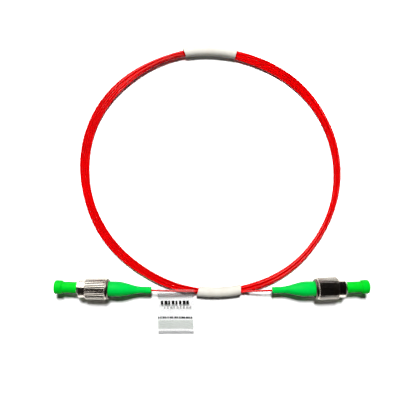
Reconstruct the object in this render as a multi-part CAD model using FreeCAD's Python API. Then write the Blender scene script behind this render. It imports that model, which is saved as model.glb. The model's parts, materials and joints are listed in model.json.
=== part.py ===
import FreeCAD, Part
import math
import os

# Fibre patch cord: two threaded, keyed plugs on one thin cord that is wound in a tied coil.
# Millimetres, +Z up. The origin is the middle of the rigid pieces' box, on the table.
# Each plug is built along +X as its own axis, with station 0 at the tail of its boot and
# stations that grow towards its dust cap, and is then laid on the table.

# Cord and coil
CORD_D = 0.9
STRAND_SLACK = 0.08
STRANDS_IN_SLEEVE = 3
STRANDS_LEFT = 4
STRANDS_RIGHT = 3
COIL_WIDTH = 122.8
COIL_DEPTH = 115.7
COIL_HEIGHT = 1.4
COIL_X = -0.6
COIL_Y = 8.95
COIL_TILT = -14.7

# Sleeves round the coil
SLEEVE_D = 4.7
SLEEVE_SIDES = 16
SLEEVE_WALL = 0.45
SLEEVE_SLIT = 0.5
SLIT_ANGLE = 225.0
TOP_SLEEVE_L = 24.5
TOP_SLEEVE_X = -0.6
BOTTOM_SLEEVE_L = 20.2
BOTTOM_SLEEVE_X = 3.6
BUNDLE_GAP = 0.05

# Where the plugs lie
TAIL_X = 28.0
TAIL_Y = -46.3
LEFT_TILT = 2.0
RIGHT_TILT = 2.2
CORD_INSERT = 1.0
BEND_SHARE = 0.45

# Boot
BOOT_L = 20.7
BOOT_TAIL_D = 3.1
BOOT_TAIL_L = 4.4
BOOT_HEAD_D = 7.0
BOOT_HEAD_L = 5.1
TAPER_STEPS = 4
BOOT_LIP = 0.25
CORD_CLEARANCE = 0.05

# Rear body
POST_D = 4.0
POST_L = 7.2
POST_BORE_D = 1.4
REAR_COLLAR_D = 7.6
REAR_COLLAR_L = 1.0
NOSE_L = 1.2

# Plug frame
FRAME_L = 12.8
FRAME_REAR_D = 6.2
FLANGE_D = 7.0
FLANGE_L = 1.6
FLANGE_AT = 5.7
BARREL_D = 6.0
BARREL_BORE_D = 5.0
BARREL_CHAMFER = 0.35
CHAMBER_D = 4.6
WEB_AT = 6.1
WEB_L = 0.8
WEB_BORE_D = 2.9
KEY_W = 2.0
KEY_L = 3.6
KEY_PROUD = 0.3
KEY_SETBACK = 0.8
LUG_W = 0.7
LUG_L = 0.6
LUG_DEPTH = 0.5

# Ferrule, its holder and the spring
FERRULE_D = 2.5
FERRULE_PROUD = 1.1
FERRULE_CHAMFER = 0.4
FERRULE_ANGLE = 8.0
HOLDER_FLANGE_L = 1.1
HOLDER_CUP_D = 3.1
HOLDER_CUP_L = 1.6
HOLDER_FLOOR = 0.4
HOLDER_BORE_D = 1.0
SPRING_WIRE = 0.45
SPRING_SIDES = 4
SPRING_TURNS = 3.0

# Coupling nut and its clip
NUT_D = 10.2
NUT_L = 13.8
NUT_OVERHANG = 1.0
RIM_D = 9.6
RIM_L = 1.2
RIM_CHAMFER = 0.5
COLLAR_D = 8.8
COLLAR_L = 3.2
COLLAR_CHAMFER = 0.45
KNURL_TEETH = 36
KNURL_DEPTH = 0.28
KNURL_TOP_SHARE = 0.44
THREAD_D = 8.0
THREAD_L = 3.3
THREAD_LEAD = 0.15
RECESS_D = 8.0
GROOVE_AT = 5.6
GROOVE_LIP = 0.3
CLIP_T = 0.8
CLIP_LIP = 0.2
CLIP_GAP_ANGLE = 50.0
GROOVE_PLAY = 0.1

# Dust cap
CAP_NECK_D = 5.2
CAP_NECK_L = 6.7
CAP_KNOB_D = 6.4
CAP_KNOB_L = 3.6
CAP_KNOB_CHAMFER = 0.5
CAP_STOP_GAP = 0.3
CAP_END_ROOM = 1.4

# Running fits, on the radius unless they say otherwise
RUN = 0.1
SLIDE = 0.05
END_GAP = 0.05

# Flag label
FILM_T = 0.1
LABEL_START_X = -25.4
LABEL_W = 17.3
LABEL_SLACK = 0.35
LABEL_TIP_Y = -67.6
LABEL_KNEE_Y = -57.0
LABEL_LIFT = 0.15
LABEL_TIP_LIFT = 0.5

# Directions
ORIGIN = FreeCAD.Vector(0, 0, 0)
PLUG_AXIS = FreeCAD.Vector(1, 0, 0)
UP = FreeCAD.Vector(0, 0, 1)

# Worked-out plug stations
AXIS_Z = NUT_D / 2
COLLAR_FRONT = BOOT_L + REAR_COLLAR_L
NOSE_FRONT = COLLAR_FRONT + NOSE_L
FLANGE_BACK = COLLAR_FRONT + FLANGE_AT
FLANGE_FRONT = FLANGE_BACK + FLANGE_L
WEB_BACK = COLLAR_FRONT + WEB_AT
WEB_FRONT = WEB_BACK + WEB_L
FRAME_FRONT = COLLAR_FRONT + FRAME_L
HOLDER_FRONT = WEB_BACK - END_GAP
HOLDER_BACK = HOLDER_FRONT - HOLDER_FLANGE_L
FERRULE_BACK = HOLDER_BACK - HOLDER_CUP_L
FERRULE_FRONT = FRAME_FRONT + FERRULE_PROUD
NUT_BACK = BOOT_L - NUT_OVERHANG
NUT_FRONT = NUT_BACK + NUT_L
GROOVE_BACK = NUT_BACK + GROOVE_AT
GROOVE_FRONT = GROOVE_BACK + CLIP_T + 2 * GROOVE_PLAY
CAP_BACK = WEB_FRONT + CAP_STOP_GAP
CAP_SHOULDER = FRAME_FRONT + CAP_NECK_L
CAP_FRONT = CAP_SHOULDER + CAP_KNOB_L

# Worked-out coil sizes
STRAND_PITCH = CORD_D + STRAND_SLACK
BUNDLE_W = STRANDS_IN_SLEEVE * STRAND_PITCH
COIL_END_R = COIL_WIDTH**2 / COIL_DEPTH / 2
SLEEVE_BORE_R = SLEEVE_D / 2 - SLEEVE_WALL
COIL_BASE_Z = SLEEVE_D / 2 - math.sqrt(SLEEVE_BORE_R**2 - (BUNDLE_W / 2) ** 2) + BUNDLE_GAP
BUNDLE_R = COIL_END_R - BUNDLE_W / 2
COIL_CENTRE = FreeCAD.Vector(COIL_X, COIL_Y, COIL_BASE_Z)
COIL_PLACE = FreeCAD.Placement(COIL_CENTRE, FreeCAD.Rotation(UP, COIL_TILT))

# Routes of the cord between the boots and the coil, chosen by hand
LEFT_ROUTE = [
    (-24.2, -46.45, 5.0),
    (-16.2, -46.75, 4.42),
    (-8.6, -47.0, 3.68),
    (-2.6, -47.3, 2.2),
]
RIGHT_ROUTE = [
    (10.0, -47.35, 1.9),
    (15.4, -47.2, 2.7),
    (23.8, -46.52, 5.03),
]


def closed(corners):
    """Closed outline through corners."""
    return Part.makePolygon(corners + corners[:1])


def turned(outline):
    """Solid turned about the plug axis from (station, radius) corners."""
    corners = [FreeCAD.Vector(station, radius, 0) for station, radius in outline]
    return Part.Face(closed(corners)).revolve(ORIGIN, PLUG_AXIS, 360)


def block(start, end, width, low, high):
    """Box along the plug axis, centred across it, between two heights."""
    return Part.makeBox(end - start, width, high - low, FreeCAD.Vector(start, -width / 2, low))


def ring_face(outer, inner):
    """Flat face between two closed outlines."""
    return Part.makeFace([outer, inner], "Part::FaceMakerBullseye")


def taper(start, end):
    """Corners of an easy S from one straight wall of an outline to another."""
    corners = []
    for step in range(TAPER_STEPS + 1):
        share = step / TAPER_STEPS
        eased = share**2 * (3 - 2 * share)
        corners.append((start[0] + share * (end[0] - start[0]), start[1] + eased * (end[1] - start[1])))
    return corners


def boot():
    """Strain relief: straight tail, swelling taper and a straight head over the post."""
    tail_r = BOOT_TAIL_D / 2
    head_r = BOOT_HEAD_D / 2
    bore_r = CORD_D / 2 + CORD_CLEARANCE
    post_r = POST_D / 2 + SLIDE
    post_end = BOOT_L - POST_L - END_GAP
    swelling = taper((BOOT_TAIL_L, tail_r), (BOOT_L - BOOT_HEAD_L, head_r))
    return turned([
        (0, bore_r),
        (0, tail_r - BOOT_LIP),
        (BOOT_LIP, tail_r),
        *swelling,
        (BOOT_L - BOOT_LIP, head_r),
        (BOOT_L, head_r - BOOT_LIP),
        (BOOT_L, post_r),
        (post_end, post_r),
        (post_end, bore_r),
    ])


def rear_body():
    """Stop behind the spring: nose in the frame, collar, and the post for the boot."""
    post_end = BOOT_L - POST_L
    nose_r = CHAMBER_D / 2 - SLIDE
    return turned([
        (post_end, POST_BORE_D / 2),
        (post_end, POST_D / 2),
        (BOOT_L, POST_D / 2),
        (BOOT_L, REAR_COLLAR_D / 2),
        (COLLAR_FRONT, REAR_COLLAR_D / 2),
        (COLLAR_FRONT, nose_r),
        (NOSE_FRONT, nose_r),
        (NOSE_FRONT, POST_BORE_D / 2),
    ])


def lug(width, depth, length, front):
    """Pair of blocks across the chamber wall that key the ferrule holder."""
    wall_r = CHAMBER_D / 2
    upper = block(front - length, front, width, wall_r - depth, wall_r + SLIDE)
    lower = block(front - length, front, width, -wall_r - SLIDE, depth - wall_r)
    return upper.fuse(lower)


def plug_frame():
    """Keyed barrel with the nut's flange, a web for the ferrule and the spring chamber."""
    barrel_r = BARREL_D / 2
    shell = turned([
        (COLLAR_FRONT, CHAMBER_D / 2),
        (COLLAR_FRONT, FRAME_REAR_D / 2),
        (FLANGE_BACK, FRAME_REAR_D / 2),
        (FLANGE_BACK, FLANGE_D / 2),
        (FLANGE_FRONT, FLANGE_D / 2),
        (FLANGE_FRONT, barrel_r),
        (FRAME_FRONT - BARREL_CHAMFER, barrel_r),
        (FRAME_FRONT, barrel_r - BARREL_CHAMFER),
        (FRAME_FRONT, BARREL_BORE_D / 2),
        (WEB_FRONT, BARREL_BORE_D / 2),
        (WEB_FRONT, WEB_BORE_D / 2),
        (WEB_BACK, WEB_BORE_D / 2),
        (WEB_BACK, CHAMBER_D / 2),
    ])
    key_front = FRAME_FRONT - KEY_SETBACK
    key_foot = (barrel_r + BARREL_BORE_D / 2) / 2
    key = block(key_front - KEY_L, key_front, KEY_W, key_foot, barrel_r + KEY_PROUD)
    return shell.fuse([key, lug(LUG_W, LUG_DEPTH, LUG_L, WEB_BACK)]).removeSplitter()


def ferrule():
    """Ceramic ferrule with a chamfered tip that is cut at an angle."""
    radius = FERRULE_D / 2
    blank = turned([
        (FERRULE_BACK, 0),
        (FERRULE_BACK, radius),
        (FERRULE_FRONT - FERRULE_CHAMFER, radius),
        (FERRULE_FRONT, radius - FERRULE_CHAMFER),
        (FERRULE_FRONT, 0),
    ])
    face_r = radius - FERRULE_CHAMFER
    fall = face_r * math.tan(math.radians(FERRULE_ANGLE))
    waste = block(FERRULE_FRONT, FERRULE_FRONT + FERRULE_D, FERRULE_D, -FERRULE_D, FERRULE_D)
    waste.rotate(FreeCAD.Vector(FERRULE_FRONT, 0, 0), FreeCAD.Vector(0, 1, 0), -FERRULE_ANGLE)
    waste.translate(FreeCAD.Vector(-fall, 0, 0))
    return blank.cut(waste)


def ferrule_holder():
    """Flanged cup pressed on the ferrule, slotted for the frame's lugs."""
    flange_r = CHAMBER_D / 2 - RUN
    cup_back = FERRULE_BACK - HOLDER_FLOOR
    body = turned([
        (cup_back, HOLDER_BORE_D / 2),
        (cup_back, HOLDER_CUP_D / 2),
        (HOLDER_BACK, HOLDER_CUP_D / 2),
        (HOLDER_BACK, flange_r),
        (HOLDER_FRONT, flange_r),
        (HOLDER_FRONT, FERRULE_D / 2),
        (FERRULE_BACK, FERRULE_D / 2),
        (FERRULE_BACK, HOLDER_BORE_D / 2),
    ])
    slot_w = LUG_W + 2 * RUN
    return body.cut(lug(slot_w, LUG_DEPTH + RUN, HOLDER_FLANGE_L + END_GAP, HOLDER_FRONT))


def spring():
    """Coil spring of many-sided wire between the rear body's nose and the ferrule holder's flange."""
    wire_r = SPRING_WIRE / 2
    start = NOSE_FRONT + END_GAP + wire_r
    height = HOLDER_BACK - END_GAP - wire_r - start
    mean_r = (HOLDER_CUP_D / 2 + CHAMBER_D / 2) / 2
    path = Part.makeHelix(height / SPRING_TURNS, height, mean_r)
    corners = []
    for side in range(SPRING_SIDES):
        angle = 2 * math.pi * side / SPRING_SIDES
        corners.append(FreeCAD.Vector(mean_r + wire_r * math.cos(angle), 0, wire_r * math.sin(angle)))
    section = closed(corners)
    coil = Part.Wire(path).makePipeShell([section], True, True)
    coil.rotate(ORIGIN, FreeCAD.Vector(0, 1, 0), 90)
    coil.translate(FreeCAD.Vector(start, 0, 0))
    return coil


def knurl(start, end):
    """Ridged ring: straight teeth along the axis."""
    tip_r = NUT_D / 2
    root_r = tip_r - KNURL_DEPTH
    pitch = 2 * math.pi / KNURL_TEETH
    half_top = pitch * KNURL_TOP_SHARE / 2
    corners = []
    for tooth in range(KNURL_TEETH):
        middle = tooth * pitch - math.pi / 2
        for angle, radius in (
            (middle - half_top, tip_r),
            (middle + half_top, tip_r),
            (middle + pitch / 2, root_r),
        ):
            corners.append(FreeCAD.Vector(start, radius * math.cos(angle), radius * math.sin(angle)))
    return Part.Face(closed(corners)).extrude(PLUG_AXIS * (end - start))


def coupling_nut():
    """Knurled nut with a smooth collar, bored for the thread, the flange, the clip and the boot."""
    knurl_start = NUT_BACK + RIM_L
    knurl_end = NUT_FRONT - COLLAR_L
    rim_r = RIM_D / 2
    collar_r = COLLAR_D / 2
    core_r = collar_r - COLLAR_CHAMFER
    core = turned([
        (NUT_BACK, 0),
        (NUT_BACK, rim_r - RIM_CHAMFER),
        (NUT_BACK + RIM_CHAMFER, rim_r),
        (knurl_start, rim_r),
        (knurl_start, core_r),
        (knurl_end, core_r),
        (knurl_end, collar_r),
        (NUT_FRONT - COLLAR_CHAMFER, collar_r),
        (NUT_FRONT, core_r),
        (NUT_FRONT, 0),
    ])
    land_r = FLANGE_D / 2 + RUN
    thread_back = NUT_FRONT - THREAD_L
    lead = THREAD_D / 2 + THREAD_LEAD
    bores = turned([
        (NUT_BACK, 0),
        (NUT_BACK, RECESS_D / 2),
        (GROOVE_BACK, RECESS_D / 2),
        (GROOVE_BACK, RECESS_D / 2 + GROOVE_LIP),
        (GROOVE_FRONT, RECESS_D / 2 + GROOVE_LIP),
        (GROOVE_FRONT, land_r),
        (thread_back, land_r),
        (thread_back, THREAD_D / 2),
        (NUT_FRONT - THREAD_LEAD, THREAD_D / 2),
        (NUT_FRONT, lead),
        (NUT_FRONT, 0),
    ])
    return core.fuse(knurl(knurl_start, knurl_end)).cut(bores).removeSplitter()


def retaining_clip():
    """Open ring that sits in the nut's groove and runs on the frame behind its flange."""
    inner_r = FRAME_REAR_D / 2 + RUN
    outer_r = RECESS_D / 2 + CLIP_LIP
    start = GROOVE_BACK + GROOVE_PLAY
    ring = turned([
        (start, inner_r),
        (start, outer_r),
        (start + CLIP_T, outer_r),
        (start + CLIP_T, inner_r),
    ])
    opening = Part.makeCylinder(
        outer_r + CLIP_T, CLIP_T, FreeCAD.Vector(start, 0, 0), PLUG_AXIS, CLIP_GAP_ANGLE
    )
    return ring.cut(opening)


def dust_cap():
    """Moulded cap: a spigot in the barrel that slides on the ferrule, a neck, and a knob to pull."""
    spigot_r = BARREL_BORE_D / 2 - RUN
    neck_r = CAP_NECK_D / 2
    neck_back = FRAME_FRONT + CAP_STOP_GAP
    knob_r = CAP_KNOB_D / 2
    bore_r = FERRULE_D / 2 + SLIDE
    bore_end = FERRULE_FRONT + CAP_END_ROOM
    lip_r = knob_r - CAP_KNOB_CHAMFER
    return turned([
        (bore_end, 0),
        (bore_end, bore_r),
        (CAP_BACK, bore_r),
        (CAP_BACK, spigot_r),
        (neck_back, spigot_r),
        (neck_back, neck_r),
        (CAP_SHOULDER, neck_r),
        (CAP_SHOULDER, lip_r),
        (CAP_SHOULDER + CAP_KNOB_CHAMFER, knob_r),
        (CAP_FRONT - CAP_KNOB_CHAMFER, knob_r),
        (CAP_FRONT, lip_r),
        (CAP_FRONT, 0),
    ])


PLUG_PIECES = {
    "dust_cap": dust_cap,
    "coupling_nut": coupling_nut,
    "retaining_clip": retaining_clip,
    "plug_frame": plug_frame,
    "ferrule": ferrule,
    "ferrule_holder": ferrule_holder,
    "spring": spring,
    "rear_body": rear_body,
    "boot": boot,
}


def plug_placement(side):
    """Where a plug lies: tail of the boot, height of the axis and the way it points."""
    if side == "left":
        return FreeCAD.Placement(
            FreeCAD.Vector(-TAIL_X, TAIL_Y, AXIS_Z), FreeCAD.Rotation(UP, 180 - LEFT_TILT)
        )
    return FreeCAD.Placement(FreeCAD.Vector(TAIL_X, TAIL_Y, AXIS_Z), FreeCAD.Rotation(UP, RIGHT_TILT))


def oval_wire(left_half, right_half, half_depth, end_radius):
    """Closed outline of four tangent arcs round the coil's centre, turned with the coil."""
    end_centre = half_depth - end_radius

    def side_arc(half_width, sign):
        side_r = (end_radius**2 - end_centre**2 - half_width**2) / (2 * (end_radius - half_width))
        spread = end_radius / (end_radius - side_r)
        tangent_x = sign * spread * (half_width - side_r)
        tangent_y = end_centre - spread * end_centre
        return (tangent_x, tangent_y), (sign * half_width, 0), (tangent_x, -tangent_y)

    right_top, right_middle, right_bottom = side_arc(right_half, 1)
    left_top, left_middle, left_bottom = side_arc(left_half, -1)
    arcs = [
        (right_bottom, right_middle, right_top),
        (right_top, (0, half_depth), left_top),
        (left_top, left_middle, left_bottom),
        (left_bottom, (0, -half_depth), right_bottom),
    ]
    edges = []
    for corners in arcs:
        points = [COIL_PLACE.multVec(FreeCAD.Vector(x, y, 0)) for x, y in corners]
        edges.append(Part.Arc(*points).toShape())
    return Part.Wire(edges)


def cord_coil():
    """Outer shape of the wound cord: an oval band, narrow where the sleeves gather it."""
    half_width = COIL_WIDTH / 2
    half_depth = COIL_DEPTH / 2
    outer = oval_wire(half_width, half_width, half_depth, COIL_END_R)
    inner = oval_wire(
        half_width - STRANDS_LEFT * STRAND_PITCH,
        half_width - STRANDS_RIGHT * STRAND_PITCH,
        half_depth - BUNDLE_W,
        COIL_END_R - BUNDLE_W,
    )
    return ring_face(outer, inner).extrude(UP * COIL_HEIGHT)


def sleeve(length, middle_x, end):
    """Slit, many-sided sleeve bent along the coil, at its far end (+1) or its near end (-1)."""
    centre = COIL_PLACE.multVec(FreeCAD.Vector(0, end * (COIL_DEPTH / 2 - COIL_END_R), -COIL_BASE_Z))
    middle = FreeCAD.Vector(BUNDLE_R, 0, SLEEVE_D / 2)
    tangent = FreeCAD.Vector(0, 1, 0)
    corner_turn = 360 / SLEEVE_SIDES
    bore_corner_r = SLEEVE_BORE_R / math.cos(math.radians(corner_turn / 2))
    rims = []
    for radius in (SLEEVE_D / 2, bore_corner_r):
        corners = []
        for side in range(SLEEVE_SIDES):
            spoke = FreeCAD.Rotation(tangent, side * corner_turn).multVec(UP * radius)
            corners.append(middle + spoke)
        rims.append(closed(corners))
    slit_corner = FreeCAD.Vector(BUNDLE_R, 0, (SLEEVE_D - SLEEVE_SLIT) / 2)
    slit = Part.makePlane(SLEEVE_D, SLEEVE_SLIT, slit_corner, -tangent)
    slit.rotate(middle, tangent, -SLIT_ANGLE)
    section = ring_face(*rims).cut(slit)
    sweep = math.degrees(length / BUNDLE_R)
    tube = section.revolve(ORIGIN, UP, sweep)
    aim = end * 90 - end * math.degrees(math.asin((middle_x - centre.x) / BUNDLE_R))
    tube.rotate(ORIGIN, UP, aim - sweep / 2)
    tube.translate(centre)
    return tube.Solids[0]


def route_wire(name, points):
    """Path of a cord: straight runs joined by the largest tangent arcs that they allow."""
    points = [FreeCAD.Vector(*point) for point in points]
    edges = []
    radii = []
    start = points[0]
    for before, corner, after in zip(points, points[1:], points[2:]):
        run_in = corner - before
        run_out = after - corner
        turn = run_in.getAngle(run_out)
        trim = BEND_SHARE * min(run_in.Length, run_out.Length)
        radius = trim / math.tan(turn / 2)
        run_in.normalize()
        run_out.normalize()
        inward = run_out - run_in
        inward.normalize()
        arc_start = corner - run_in * trim
        arc_end = corner + run_out * trim
        arc_middle = corner + inward * (radius / math.cos(turn / 2) - radius)
        edges.append(Part.LineSegment(start, arc_start).toShape())
        edges.append(Part.Arc(arc_start, arc_middle, arc_end).toShape())
        radii.append(radius)
        start = arc_end
    edges.append(Part.LineSegment(start, points[-1]).toShape())
    print(name, "radii", " ".join("%.1f" % radius for radius in radii))
    return Part.Wire(edges)


def cord_tube(name, points):
    """Plain tube along a cord's route, with its volume set against section times length."""
    path = route_wire(name, points)
    first = path.OrderedEdges[0]
    section = Part.Wire(Part.makeCircle(CORD_D / 2, first.valueAt(0), first.tangentAt(0)))
    tube = path.makePipeShell([section], True, True)
    expected = math.pi * CORD_D**2 / 4 * path.Length
    print(name, "length %.1f volume %.3f expected %.3f" % (path.Length, tube.Volume, expected))
    return tube


def cord_entry(side):
    """Point on a plug's axis just inside the tail of its boot."""
    entry = plug_placement(side).multVec(FreeCAD.Vector(CORD_INSERT, 0, 0))
    return (entry.x, entry.y, entry.z)


def route_point(route, x):
    """Point of a route's straight runs at a distance across the table."""
    for start, end in zip(route, route[1:]):
        if start[0] <= x <= end[0]:
            share = (x - start[0]) / (end[0] - start[0])
            return FreeCAD.Vector(*start) * (1 - share) + FreeCAD.Vector(*end) * share
    raise ValueError("the route doesn't pass there")


def flag_section(centre):
    """Outline of the folded film across the cord: a loop, then two layers down to the table."""
    loop_r = CORD_D / 2 + LABEL_SLACK + FILM_T
    knee = FreeCAD.Vector(centre.x, LABEL_KNEE_Y, LABEL_LIFT)
    tip = FreeCAD.Vector(centre.x, LABEL_TIP_Y, LABEL_TIP_LIFT)
    slope = knee - centre
    slope.normalize()
    face = FreeCAD.Vector(0, slope.z, -slope.y)
    reach = math.sqrt(loop_r**2 - FILM_T**2)
    root = centre + slope * reach
    thick = UP * FILM_T
    upper = [root + face * FILM_T, knee + thick, tip + thick]
    lower = [tip - thick, knee - thick, root - face * FILM_T]
    corners = upper + lower
    edges = [Part.LineSegment(a, b).toShape() for a, b in zip(corners, corners[1:])]
    edges.append(Part.Arc(corners[-1], centre - slope * loop_r, corners[0]).toShape())
    return Part.Wire(edges)


def flag_label(route):
    """Clear film flag, folded round the left cord and stuck to itself."""
    start = route_point(route, LABEL_START_X)
    finish = route_point(route, LABEL_START_X + LABEL_W)
    film = Part.makeLoft([flag_section(start), flag_section(finish)], True, True)
    along = finish - start
    hole = Part.makeCylinder(CORD_D / 2 + LABEL_SLACK, 3 * along.Length, start - along, along)
    return film.cut(hole)


def main():
    """Build every piece, test that it is one closed solid, and write it out."""
    os.makedirs("parts", exist_ok=True)
    left_route = [cord_entry("left")] + LEFT_ROUTE
    right_route = RIGHT_ROUTE + [cord_entry("right")]
    pieces = {
        "cord_coil": cord_coil(),
        "left_cord": cord_tube("left_cord", left_route),
        "right_cord": cord_tube("right_cord", right_route),
        "top_sleeve": sleeve(TOP_SLEEVE_L, TOP_SLEEVE_X, 1),
        "bottom_sleeve": sleeve(BOTTOM_SLEEVE_L, BOTTOM_SLEEVE_X, -1),
        "flag_label": flag_label(left_route),
    }
    for name, build in PLUG_PIECES.items():
        for side in ("left", "right"):
            pieces[side + "_" + name] = build().transformed(plug_placement(side).toMatrix())
    for name, shape in pieces.items():
        if not shape.isValid() or len(shape.Solids) != 1:
            raise ValueError("%s is not one closed solid" % name)
        shape.Solids[0].exportStep("parts/%s.step" % name)


main()
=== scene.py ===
"""Looks of a fibre patch cord: a red cord wound in a tied coil, with a keyed green plug at each end.

The scene is in metres, +Z up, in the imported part's own frame. Pieces are shaped in millimetres.
A plug's pieces lie along +X, with station 0 at the tail of the boot, until they are carried
to the axis that the frame gives them.
"""

import json
import logging
import math
from abc import ABC, abstractmethod
from dataclasses import dataclass, field
from enum import Enum
from functools import cache, partial, reduce
from typing import ClassVar, NamedTuple, Sequence, Union

import bmesh
import bpy
from mathutils import Matrix, Vector


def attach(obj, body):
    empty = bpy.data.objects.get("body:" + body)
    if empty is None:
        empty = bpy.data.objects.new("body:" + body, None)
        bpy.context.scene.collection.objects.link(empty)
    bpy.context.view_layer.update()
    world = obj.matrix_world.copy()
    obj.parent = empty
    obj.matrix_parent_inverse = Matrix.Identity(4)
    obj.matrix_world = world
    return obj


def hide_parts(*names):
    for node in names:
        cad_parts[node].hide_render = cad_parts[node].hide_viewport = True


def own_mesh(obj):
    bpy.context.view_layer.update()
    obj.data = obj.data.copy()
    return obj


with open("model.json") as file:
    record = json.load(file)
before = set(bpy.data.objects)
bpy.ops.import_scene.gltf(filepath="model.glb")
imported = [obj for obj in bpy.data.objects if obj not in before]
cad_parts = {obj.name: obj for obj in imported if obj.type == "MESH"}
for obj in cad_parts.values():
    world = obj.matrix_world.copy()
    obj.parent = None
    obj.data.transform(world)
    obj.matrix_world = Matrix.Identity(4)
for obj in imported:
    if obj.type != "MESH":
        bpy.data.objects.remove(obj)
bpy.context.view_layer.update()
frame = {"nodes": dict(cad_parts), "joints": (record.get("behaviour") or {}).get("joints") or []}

Colour = tuple[float, float, float, float]
Point = tuple[float, float, float]
Shape = bmesh.types.BMesh
Element = Union[bmesh.types.BMVert, bmesh.types.BMEdge, bmesh.types.BMFace]
Socket = bpy.types.NodeSocket

LOG = logging.getLogger("patch_cord")
ROOT = "root"
MM = 0.001
MERGE_MM = 0.001
FULL_TURN = 2.0 * math.pi
FULL_CIRCLE_DEG = 360.0
ORIGIN: Point = (0.0, 0.0, 0.0)
PLUG_AXIS: Point = (1.0, 0.0, 0.0)
UP: Point = (0.0, 0.0, 1.0)
WHITE: Colour = (1.0, 1.0, 1.0, 1.0)


class Side(Enum):
    """The two ends of the cord."""

    LEFT = "left"
    RIGHT = "right"

    def named(self, piece: str) -> str:
        """Name of this side's piece, body or joint."""
        return f"{self.value}_{piece}"


class Duty(Enum):
    """What a lamp is for: to light matt surfaces, or to be seen in polished ones."""

    SHINE = "shine"
    MIRROR = "mirror"


class Effect(Enum):
    """Shared shader effects, by the name of their node group."""

    GRAIN = "surface_grain"
    LATHE = "lathe_lines"
    FIELD = "printed_field"


class Mix(Enum):
    """Kinds of Mix node: the data type, and the places of the two inputs and of the result."""

    VALUE = ("FLOAT", 2, 3, 0)
    COLOUR = ("RGBA", 6, 7, 2)


class Rounded(Enum):
    """What a bevel rounds."""

    CORNERS = "VERTICES"
    EDGES = "EDGES"


def clamp(share: float) -> float:
    """Share held between 0 and 1."""
    return min(1.0, max(0.0, share))


def ease(share: float) -> float:
    """Smooth step from 0 to 1."""
    share = clamp(share)
    return share * share * (3.0 - 2.0 * share)


def between(low: float, high: float, share: float) -> float:
    """Value at a share of the way from low to high."""
    return low + share * (high - low)


@dataclass
class NodeSheet:
    """A node tree, with short calls that add, set and join its nodes."""

    tree: bpy.types.NodeTree

    def add(self, kind: str, **settings: object) -> bpy.types.Node:
        """Add a node.

        Args:
            kind: Blender's name of the node's type.
            **settings: The node's own properties, by name.

        Returns:
            The new node.
        """
        node = self.tree.nodes.new(kind)
        for name, value in settings.items():
            setattr(node, name, value)
        return node

    def feed(self, node: bpy.types.Node, **values: object) -> bpy.types.Node:
        """Link or set a node's inputs.

        Args:
            node: The node.
            **values: Sockets to link or values to set, by the input's name with _ for its spaces.

        Returns:
            The same node.
        """
        for name, value in values.items():
            self.give(node.inputs[name.replace("_", " ")], value)
        return node

    def give(self, target: Socket, value: object) -> None:
        """Link a socket to an input, or set the input's value.

        Args:
            target: The input.
            value: The socket or the value.
        """
        if isinstance(value, bpy.types.NodeSocket):
            self.tree.links.new(value, target)
        else:
            target.default_value = value

    def math(self, operation: str, *values: object) -> Socket:
        """Add a Math node.

        Args:
            operation: Blender's name of the operation.
            *values: Its inputs, in order.

        Returns:
            The result.
        """
        node = self.add("ShaderNodeMath", operation=operation)
        for target, value in zip(node.inputs, values):
            self.give(target, value)
        return node.outputs[0]

    def blend(self, share: Socket, first: object, second: object, mix: Mix = Mix.COLOUR) -> Socket:
        """Mix two colours or two values.

        Args:
            share: The second one's share.
            first: What a share of 0 gives.
            second: What a share of 1 gives.
            mix: Whether they are colours or values.

        Returns:
            The mixed colour or value.
        """
        kind, first_place, second_place, result = mix.value
        node = self.add("ShaderNodeMix", data_type=kind)
        self.give(node.inputs[0], share)
        self.give(node.inputs[first_place], first)
        self.give(node.inputs[second_place], second)
        return node.outputs[result]

    def spread(
        self, value: Socket, low: float, high: float, start: float = 0.0, end: float = 1.0
    ) -> Socket:
        """Map a value from one range to another.

        Args:
            value: The value to map.
            low: Result at the range's start.
            high: Result at the range's end.
            start: Start of the value's range.
            end: End of the value's range.

        Returns:
            The mapped value.
        """
        node = self.add("ShaderNodeMapRange")
        self.feed(node, Value=value, From_Min=start, From_Max=end, To_Min=low, To_Max=high)
        return node.outputs["Result"]

    def effect(self, effect: Effect, **values: object) -> bpy.types.Node:
        """Place a shared effect's node group with its own values."""
        return self.feed(self.add("ShaderNodeGroup", node_tree=EFFECTS.get(effect)), **values)


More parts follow.
